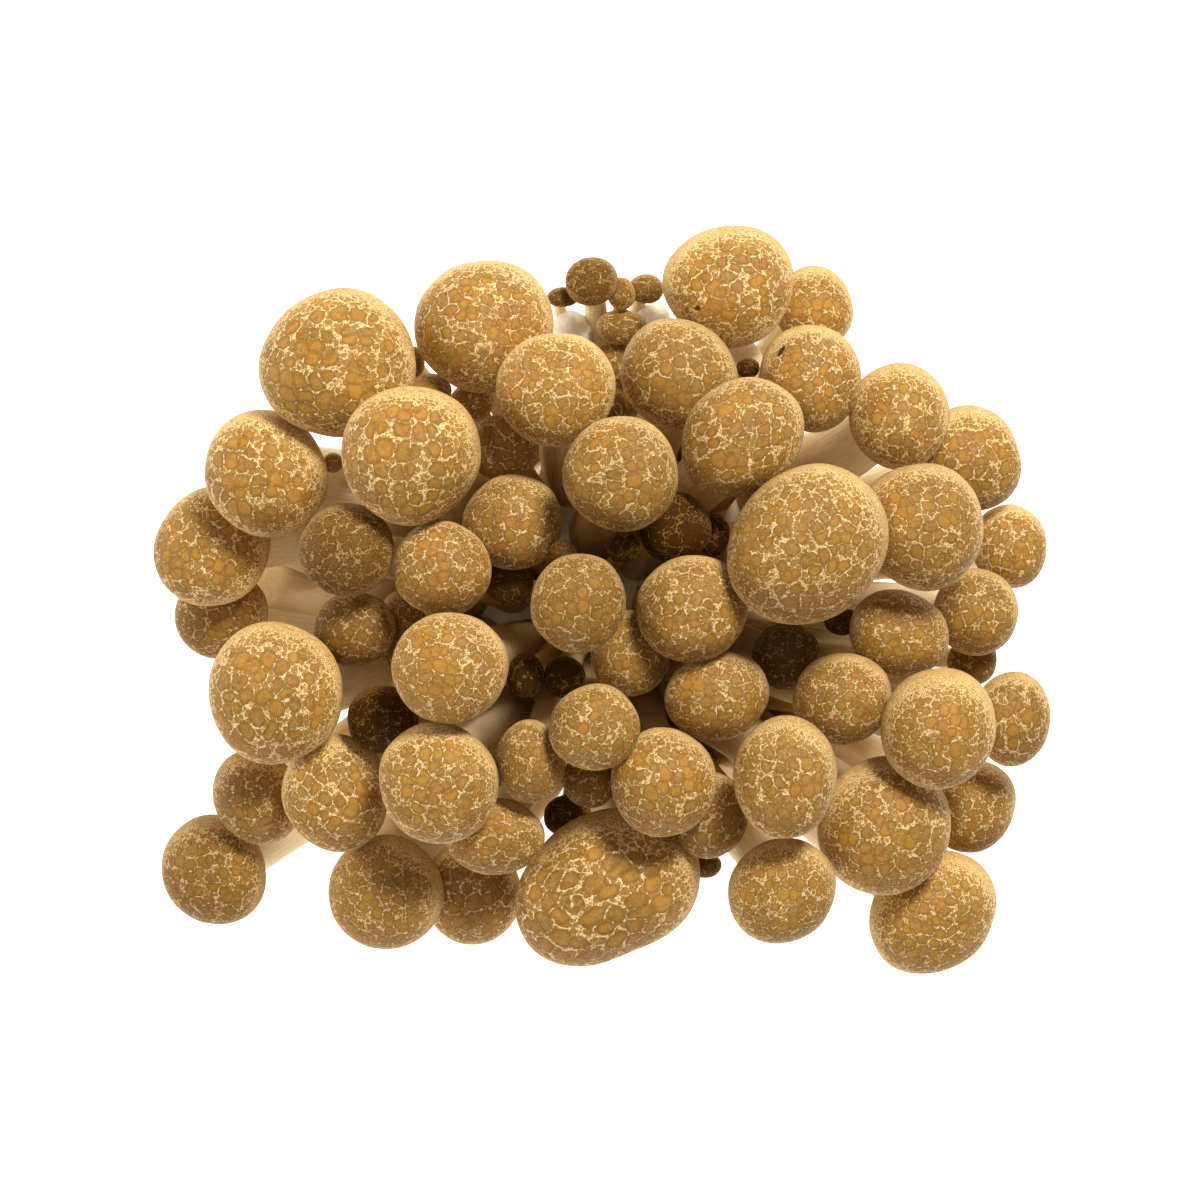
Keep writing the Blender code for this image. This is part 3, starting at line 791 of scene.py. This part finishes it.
def add_pinheads(pinheads, skin, gill):
    """The smallest caps, together in one piece."""
    all_points, all_faces, patterns, margins, slots, young_or_shaded = [], [], [], [], [], []
    count = 0
    for number, cap in enumerate(pinheads[: len(pinheads) - BARE_STEM_ENDS], 1):
        draw = random.Random(SEED * 2000 + number)
        points, faces, pattern, margin, slot = fine_cap(cap, 0, PINHEAD_SIDES, draw)
        all_points.append(points)
        all_faces += [tuple(index + count for index in face) for face in faces]
        patterns.append(pattern)
        margins.append(margin)
        slots += slot
        young_or_shaded += [darkness_with_painted_shade(cap, -number, draw)] * len(points)
        count += len(points)
    piece = new_piece("skin_pinheads", np.vstack(all_points), all_faces, (skin, gill))
    piece.data.polygons.foreach_set("material_index", slots)
    set_values(piece, "pattern", "FLOAT_VECTOR", np.vstack(patterns))
    set_values(piece, "margin", "FLOAT", np.concatenate(margins))
    set_values(piece, "young_or_shaded", "FLOAT", young_or_shaded)
    set_values(piece, "scar", "FLOAT_VECTOR", [NO_SCAR] * (3 * count))
    turned_outwards(piece)
    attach(piece, "root")


def painted_shade_share(x, y, z):
    """How far inside and how low in the cluster a place on a stem is, from 0 to 1, which sets its painted
    shade.
    """
    inwards = 1.0 - rim_share(x, y)
    low = 1.0 - z / dome_height(x, y)
    return min(1.0, max(0.0, INWARDS_SHADE * inwards + LOW_SHADE * low))


def tube(path, radii, sides, rings, draw, rounded_end):
    """Points, faces and fibre coordinates of a closed, slightly uneven tube along a route."""
    centres = smooth_through(path, ROUTE_STEPS, start=2 * path[0] - path[1])
    steps = np.concatenate(([0.0], np.cumsum(np.linalg.norm(np.diff(centres, axis=0), axis=1))))
    lengths = np.linspace(0.0, steps[-1], rings)
    centres = np.stack([np.interp(lengths, steps, centres[:, axis]) for axis in range(3)], axis=1)
    thick = np.interp(lengths / steps[-1], np.linspace(0, 1, len(radii)), radii)
    if rounded_end:
        left = np.clip((steps[-1] - lengths) / radii[-1], 0.0, 1.0)
        thick = thick * np.sqrt(np.clip(1 - (1 - left) ** 2, BLUNT_END, 1.0))
    points, fibres = [], []
    side_way = None
    phase = draw.uniform(0, 100)
    for ring in range(rings):
        along = Vector(centres[min(ring + 1, rings - 1)] - centres[max(ring - 1, 0)]).normalized()
        side_way = along.orthogonal() if side_way is None else side_way
        side_way = (side_way - along * side_way.dot(along)).normalized()
        cross_way = along.cross(side_way)
        for side in range(sides):
            angle = 2 * math.pi * side / sides
            cosine, sine = math.cos(angle), math.sin(angle)
            offset = side_way * cosine + cross_way * sine
            where = (cosine * BUMP_AROUND + phase, sine * BUMP_AROUND, lengths[ring] * BUMP_ALONG)
            bump = 1 + BUMP_SIZE * noise.noise(Vector(where))
            points.append(Vector(centres[ring]) + offset * thick[ring] * bump)
            fibres.append((cosine * thick[ring] + phase, sine * thick[ring], lengths[ring]))
    faces = []
    for ring in range(rings - 1):
        lower, upper = ring * sides, (ring + 1) * sides
        for side in range(sides):
            after = (side + 1) % sides
            faces.append((lower + side, lower + after, upper + after, upper + side))
    faces.append(tuple(reversed(range(sides))))
    faces.append(tuple(range((rings - 1) * sides, rings * sides)))
    return np.array(points), faces, fibres


def add_stems(caps, pinheads, material):
    """All stems in one piece, from inside the base up into their caps."""
    everyone = caps + pinheads
    paths, radii = stem_routes(everyone)
    all_points, all_faces, all_fibres, whites = [], [], [], []
    count = 0
    for number, (path, radius) in enumerate(zip(paths, radii), 1):
        draw = random.Random(SEED * 3000 + number)
        bare = number > len(everyone) - BARE_STEM_ENDS
        small = everyone[number - 1].radius * 2 < SMALL_CAP
        sides, rings = (THIN_STEM_SIDES, THIN_STEM_RINGS) if small else (STEM_SIDES, STEM_RINGS)
        if bare:
            radius = radius * np.linspace(1.0, BARE_END_GROWTH, len(radius))
        points, faces, fibres = tube(path, radius, sides, rings, draw, bare)
        all_points.append(points)
        all_faces += [tuple(index + count for index in face) for face in faces]
        all_fibres += fibres
        whites += [WHITE_ENDS[number - 1 - len(everyone)] if bare else 0.0] * len(points)
        count += len(points)
    placed = np.vstack(all_points)
    placed[:, 2] = np.maximum(placed[:, 2], LEAST_HEIGHT)
    piece = new_piece("fibrous_stems", placed, all_faces, (material,))
    set_values(piece, "fibre", "FLOAT_VECTOR", all_fibres)
    set_values(piece, "white", "FLOAT", whites)
    # Painted shade for each point of the stems
    set_values(piece, "painted_shade", "FLOAT", [painted_shade_share(*point) for point in placed])
    turned_outwards(piece)
    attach(piece, "root")
    return piece


def add_base(material):
    """The lumpy base with its flat cut face."""
    profile = smooth_through([*BASE_RINGS[1:], (0.0, BASE_TOP)], BASE_STEPS)
    rings = [*CUT_EDGE_RINGS, *[tuple(ring) for ring in profile[:-1]]]
    points = [(0.0, 0.0, 0.0)]
    for share, height in rings:
        for side in range(BASE_SIDES):
            angle = 2 * math.pi * side / BASE_SIDES
            lump = 1.0 + sum(size * math.sin(waves * angle + start) for waves, size, start in BASE_LUMPS)
            across, along = BASE_HALF_WIDTH * math.cos(angle), BASE_HALF_DEPTH * math.sin(angle)
            place = Vector((across, along, 0.0)) * share * lump
            rough = 0.0
            for scale, size in BASE_ROUGHNESS:
                rough += noise.noise(Vector((place.x, place.y, height)) * scale) * size
            if height > LEAST_HEIGHT:
                place += place.normalized() * rough
            points.append(place + Vector((0.0, 0.0, height)))
    points.append(Vector((0.0, 0.0, BASE_TOP)))
    faces = []
    for side in range(BASE_SIDES):
        after = (side + 1) % BASE_SIDES
        faces.append((0, 1 + after, 1 + side))
        for ring in range(len(rings) - 1):
            lower, upper = 1 + ring * BASE_SIDES, 1 + (ring + 1) * BASE_SIDES
            faces.append((lower + side, lower + after, upper + after, upper + side))
        last = 1 + (len(rings) - 1) * BASE_SIDES
        faces.append((last + side, last + after, len(points) - 1))
    piece = new_piece("lumpy_base", np.array([tuple(point) for point in points]), faces, (material,))
    turned_outwards(piece)
    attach(piece, "root")
    return piece


Spots = collections.namedtuple("Spots", "mask depth pick")


class Graph:
    """Short calls for wiring up a material's nodes."""

    def __init__(self, name, roughness, specular=0.2):
        self.material = bpy.data.materials.new(name)
        self.material.use_nodes = True
        self.tree = self.material.node_tree
        self.shader = self.tree.nodes["Principled BSDF"]
        self.shader.inputs["Roughness"].default_value = roughness
        self.shader.inputs["Specular IOR Level"].default_value = specular

    def put(self, socket, value):
        """Links a socket, or sets its value."""
        if isinstance(value, bpy.types.NodeSocket):
            self.tree.links.new(value, socket)
        elif isinstance(value, tuple) and socket.type == "RGBA":
            socket.default_value = (*value, 1.0)
        else:
            socket.default_value = value

    def attribute(self, name):
        """Reads what the mesh stores at each point."""
        node = self.tree.nodes.new("ShaderNodeAttribute")
        node.attribute_name = name
        return node

    def maths(self, operation, first, second=0.0, clamp=False):
        """Arithmetic on two numbers."""
        node = self.tree.nodes.new("ShaderNodeMath")
        node.operation = operation
        node.use_clamp = clamp
        self.put(node.inputs[0], first)
        self.put(node.inputs[1], second)
        return node.outputs[0]

    def moved(self, operation, first, second):
        """Arithmetic on two vectors, or on a vector and a number to scale it by."""
        node = self.tree.nodes.new("ShaderNodeVectorMath")
        node.operation = operation
        self.put(node.inputs[0], first)
        self.put(node.inputs["Scale" if operation == "SCALE" else 1], second)
        return node.outputs[0]

    def ranged(self, value, low, high, to_low=0.0, to_high=1.0):
        """Maps a range of numbers smoothly onto another one."""
        node = self.tree.nodes.new("ShaderNodeMapRange")
        node.interpolation_type = "SMOOTHSTEP"
        for name, number in (("Value", value), ("From Min", low), ("From Max", high)):
            self.put(node.inputs[name], number)
        node.inputs["To Min"].default_value = to_low
        node.inputs["To Max"].default_value = to_high
        return node.outputs[0]

    def cloud(self, vector, scale, detail=2.0, rough=0.5):
        """A soft noise."""
        node = self.tree.nodes.new("ShaderNodeTexNoise")
        self.put(node.inputs["Vector"], vector)
        node.inputs["Scale"].default_value = scale
        node.inputs["Detail"].default_value = detail
        node.inputs["Roughness"].default_value = rough
        return node

    def cells(self, vector, feature, scale=1.0, randomness=0.9):
        """A pattern of cells on the first two numbers of the vector."""
        node = self.tree.nodes.new("ShaderNodeTexVoronoi")
        node.voronoi_dimensions = "2D"
        node.feature = feature
        self.put(node.inputs["Vector"], vector)
        node.inputs["Scale"].default_value = scale
        node.inputs["Randomness"].default_value = randomness
        return node

    def wavered(self, vector, scale, distance):
        """A vector moved about by a soft noise."""
        shift = self.moved("SUBTRACT", self.cloud(vector, scale).outputs["Color"], (0.5, 0.5, 0.5))
        return self.moved("ADD", vector, self.moved("SCALE", shift, distance))

    def spots(self, place, scale, sizes, shrink, joining=0.0):
        """Spots of uneven size, some joined: a mask, the depth inside each edge, and a number for each."""
        cells = self.cells(place, "F1", scale)
        edge = self.cells(place, "DISTANCE_TO_EDGE", scale).outputs["Distance"]
        parts = self.tree.nodes.new("ShaderNodeSeparateColor")
        self.put(parts.inputs[0], cells.outputs["Color"])
        size = self.maths("MULTIPLY_ADD", parts.outputs["Red"], sizes[1] - sizes[0])
        self.put(size.node.inputs[2], sizes[0])
        size = self.maths("SUBTRACT", size, shrink)
        inside = self.maths("SUBTRACT", size, cells.outputs["Distance"])
        depth = self.maths("SMOOTH_MIN", inside, self.maths("ADD", edge, joining))
        self.put(depth.node.inputs[2], SPOT_ROUNDING)
        mask = self.ranged(depth, 0.005, 0.08)
        return Spots(mask, depth, parts.outputs["Green"])

    def mixed(self, share, first, second):
        """Blends two colours."""
        node = self.tree.nodes.new("ShaderNodeMix")
        node.data_type = "RGBA"
        self.put(node.inputs["Factor"], share)
        self.put(node.inputs[6], first)
        self.put(node.inputs[7], second)
        return node.outputs[2]

    def raised(self, height, distance, strength):
        """Bump from a height, over a distance in millimetres."""
        node = self.tree.nodes.new("ShaderNodeBump")
        node.inputs["Distance"].default_value = distance * MM
        node.inputs["Strength"].default_value = strength
        self.put(node.inputs["Height"], height)
        self.put(self.shader.inputs["Normal"], node.outputs["Normal"])


def skin_spots(graph, pattern, margin, soft):
    """The large, the small and the finest spots, which get fewer towards the margin."""
    place = graph.wavered(pattern, 0.50, 0.7)
    place = graph.wavered(place, 2.2, 0.14)
    place = graph.wavered(place, 9.0, 0.07)
    joining = graph.ranged(soft, 0.46, 0.60, -0.01, 0.10)
    big = graph.spots(place, 1.0, (0.40, 0.73), graph.ranged(margin, 0.37, 0.57, 0.0, 0.75), joining)
    sparse = graph.ranged(soft, 0.35, 0.55, 0.16, 0.0)
    fewer = graph.maths("ADD", graph.ranged(margin, 0.45, 0.68, 0.0, 0.85), sparse)
    small = graph.spots(place, 2.6, (0.34, 0.82), fewer)
    grain = graph.spots(place, 7.0, (0.20, 0.75), 0.0)
    return big, small, grain


def net_colour(graph, margin, fleck, big):
    """The pale net between the spots, brightest in its flecks and beside the large spots."""
    rim = graph.maths("MULTIPLY", graph.ranged(big.depth, -0.16, -0.02), 0.6)
    bright = graph.maths("ADD", graph.ranged(fleck, 0.42, 0.62), rim, clamp=True)
    bright = graph.maths("MULTIPLY", bright, graph.ranged(margin, 0.45, 0.85, 0.9, 0.45))
    net = graph.mixed(bright, NET_PALE, NET_BRIGHT)
    return graph.mixed(graph.ranged(margin, 0.50, 0.80, 0.0, 0.6), net, MARGIN_PALE)


def large_spot_colour(graph, pattern, big):
    """The large spots, dark at their edges, lighter and mottled inside."""
    mottle = graph.cloud(pattern, 3.2, 3.0, 0.65).outputs["Fac"]
    middle = graph.ranged(big.depth, 0.0, 0.30, 0.20, 0.95)
    middle = graph.maths("MULTIPLY", middle, graph.ranged(big.pick, 0.0, 1.0, 0.60, 1.05), clamp=True)
    middle = graph.maths("MULTIPLY", middle, graph.ranged(mottle, 0.30, 0.62, 0.60, 1.15), clamp=True)
    return graph.mixed(middle, SPOT_DARK, SPOT_LIGHT)


def skin_material():
    """Smooth brown spots in a pale grainy net, which grow small and fade towards the margin."""
    graph = Graph("cap_skin", roughness=0.62, specular=0.16)
    pattern = graph.attribute("pattern").outputs["Vector"]
    margin = graph.attribute("margin").outputs["Fac"]
    young_or_shaded = graph.attribute("young_or_shaded").outputs["Fac"]
    soft = graph.cloud(pattern, 0.40, 2.0).outputs["Fac"]
    fleck = graph.cloud(pattern, 16.0, 2.0, 0.75).outputs["Fac"]
    big, small, grain = skin_spots(graph, pattern, margin, soft)
    net = net_colour(graph, margin, fleck, big)
    skin = graph.mixed(graph.maths("MULTIPLY", grain.mask, 0.85), net, NET_GRAIN)
    dim = graph.mixed(graph.ranged(small.depth, 0.0, 0.22), SPOT_DARK, SPOT_SMALL)
    skin = graph.mixed(graph.maths("MULTIPLY", small.mask, 0.90), skin, dim)
    spot = large_spot_colour(graph, pattern, big)
    faint = graph.ranged(big.pick, 0.0, 1.0, 0.85, 1.0)
    skin = graph.mixed(graph.maths("MULTIPLY", big.mask, faint), skin, spot)

    spotted = graph.maths("MAXIMUM", graph.maths("MAXIMUM", big.mask, small.mask), grain.mask)
    # Darkens the skin for small caps and for painted shade on caps sunk among the others
    dark = graph.mixed(spotted, SHADED_YOUNG_NET, SHADED_YOUNG_BROWN)
    skin = graph.mixed(young_or_shaded, skin, dark)
    scar = graph.tree.nodes.new("ShaderNodeVectorMath")
    scar.operation = "LENGTH"
    graph.put(scar.inputs[0], graph.attribute("scar").outputs["Vector"])
    mark = graph.ranged(scar.outputs["Value"], 0.60, 1.10, 1.0, 0.0)
    skin = graph.mixed(mark, skin, MARK_BROWN)
    shade = graph.ranged(fleck, 0.30, 0.70, 0.84, 1.16)
    shade = graph.maths("MULTIPLY", shade, graph.ranged(soft, 0.30, 0.70, 0.90, 1.10))
    graph.put(graph.shader.inputs["Base Color"], graph.moved("SCALE", skin, shade))
    graph.put(graph.shader.inputs["Specular IOR Level"], graph.ranged(young_or_shaded, 0.0, 1.0, 0.16, 0.03))
    height = graph.maths("ADD", graph.maths("MULTIPLY", big.mask, 0.5), graph.maths("MULTIPLY", fleck, 0.5))
    graph.raised(height, 0.10, 0.30)
    return graph.material


def gill_material():
    """The cream gills under the caps."""
    graph = Graph("gill_flesh", roughness=0.70)
    pattern = graph.attribute("pattern").outputs["Vector"]
    spots = graph.cloud(pattern, 3.0, 3.0).outputs["Fac"]
    colour = graph.mixed(graph.ranged(spots, 0.3, 0.7, 0.0, 0.5), GILL_CREAM, STEM_FIBRE)
    graph.put(graph.shader.inputs["Base Color"], colour)
    return graph.material


def stem_material():
    """Cream flesh with fine fibres that run up the stem, darker with painted shade inside and low in the
    cluster.
    """
    graph = Graph("stem_fibres", roughness=0.55)
    fibre = graph.attribute("fibre").outputs["Vector"]
    drawn_out = graph.moved("MULTIPLY", fibre, (3.2, 3.2, 0.16))
    streaks = graph.cloud(drawn_out, 1.0, 4.0, 0.6).outputs["Fac"]
    blotches = graph.cloud(fibre, 0.16, 3.0).outputs["Fac"]
    share = graph.ranged(streaks, 0.35, 0.75, 0.0, 0.5)
    share = graph.maths("ADD", share, graph.ranged(blotches, 0.5, 0.8, 0.0, 0.3), clamp=True)
    flesh = graph.mixed(share, STEM_CREAM, STEM_FIBRE)
    # Painted shade: darker inside and low in the cluster
    painted_shade = graph.ranged(graph.attribute("painted_shade").outputs["Fac"], 0.35, 0.85, 0.0, 0.80)
    flesh = graph.mixed(painted_shade, flesh, STEM_PAINTED_SHADE)
    white = graph.attribute("white").outputs["Fac"]
    graph.put(graph.shader.inputs["Base Color"], graph.mixed(white, flesh, STEM_WHITE))
    graph.raised(streaks, 0.35, 0.35)
    return graph.material


def base_material():
    """Cream to tan flesh, darker at the cut."""
    graph = Graph("base_flesh", roughness=0.70)
    place = graph.tree.nodes.new("ShaderNodeTexCoord").outputs["Object"]
    spots = graph.cloud(place, 190.0, 5.0, 0.6).outputs["Fac"]
    specks = graph.cloud(place, 900.0, 2.0, 0.6).outputs["Fac"]
    parts = graph.tree.nodes.new("ShaderNodeSeparateXYZ")
    graph.put(parts.inputs[0], place)
    low = graph.ranged(parts.outputs["Z"], 0.001, 0.012, 0.9, 0.0)
    colour = graph.mixed(graph.ranged(spots, 0.35, 0.7, 0.0, 0.7), STEM_CREAM, BASE_TAN)
    share = graph.maths("MULTIPLY", low, graph.ranged(specks, 0.4, 0.7, 0.25, 1.0))
    graph.put(graph.shader.inputs["Base Color"], graph.mixed(share, colour, BASE_DARK))
    graph.raised(spots, 1.0, 0.5)
    return graph.material


def floor_material():
    """A plain white floor, bright enough to hide its shadows from the camera."""
    graph = Graph("white_floor", roughness=0.9, specular=0.0)
    graph.shader.inputs["Base Color"].default_value = (FLOOR_WHITE, FLOOR_WHITE, FLOOR_WHITE, 1.0)
    graph.shader.inputs["Emission Color"].default_value = (1.0, 1.0, 1.0, 1.0)
    graph.shader.inputs["Emission Strength"].default_value = FLOOR_GLOW
    return graph.material


def add_floor():
    """The white floor."""
    mesh = bpy.data.meshes.new("floor")
    floor_corners = [(x * FLOOR_HALF, y * FLOOR_HALF, 0) for x, y in ((-1, -1), (1, -1), (1, 1), (-1, 1))]
    mesh.from_pydata(floor_corners, [], [(0, 1, 2, 3)])
    mesh.materials.append(floor_material())
    floor = bpy.data.objects.new("floor", mesh)
    bpy.context.scene.collection.objects.link(floor)


def add_world():
    """Weak light all round."""
    world = bpy.data.worlds.new("studio")
    world.use_nodes = True
    world.node_tree.nodes["Background"].inputs["Color"].default_value = WORLD_COLOUR
    world.node_tree.nodes["Background"].inputs["Strength"].default_value = WORLD_LIGHT
    bpy.context.scene.world = world


def add_lamps():
    """A key light from behind on the right, and weaker ones above, on the left and in front."""
    for name, place, size, power in LAMPS:
        lamp = bpy.data.lights.new(name, "AREA")
        lamp.shape = "SQUARE"
        lamp.size = size
        lamp.energy = power
        lamp.color = LAMP_COLOUR
        shown = bpy.data.objects.new(name, lamp)
        shown.location = place
        shown.rotation_euler = (Vector(LAMP_AIM) - Vector(place)).to_track_quat("-Z", "Y").to_euler()
        bpy.context.scene.collection.objects.link(shown)


def add_camera():
    """Looks straight down from the eye height that the sizes were read at."""
    camera = bpy.data.cameras.new("camera")
    camera.sensor_width = SENSOR_WIDTH
    camera.lens = camera.sensor_width * (EYE_HEIGHT - READING_HEIGHT) / SEEN_WIDTH
    made = bpy.data.objects.new("camera", camera)
    made.location = (-OUTLINE_MIDDLE[0] * MM, -OUTLINE_MIDDLE[1] * MM, EYE_HEIGHT * MM)
    bpy.context.scene.collection.objects.link(made)
    bpy.context.scene.camera = made


def main():
    """Dresses the frame."""
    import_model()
    bpy.context.scene.view_settings.view_transform = "Standard"
    caps = caps_in_frame()
    pinheads = settled_pinheads(caps)
    skin = skin_material()
    gill = gill_material()
    add_caps(caps, skin, gill)
    add_pinheads(pinheads, skin, gill)
    stems = add_stems(caps, pinheads, stem_material())
    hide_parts("stems_and_base")
    add_base(base_material())
    add_floor()
    add_world()
    add_lamps()
    add_camera()


main()
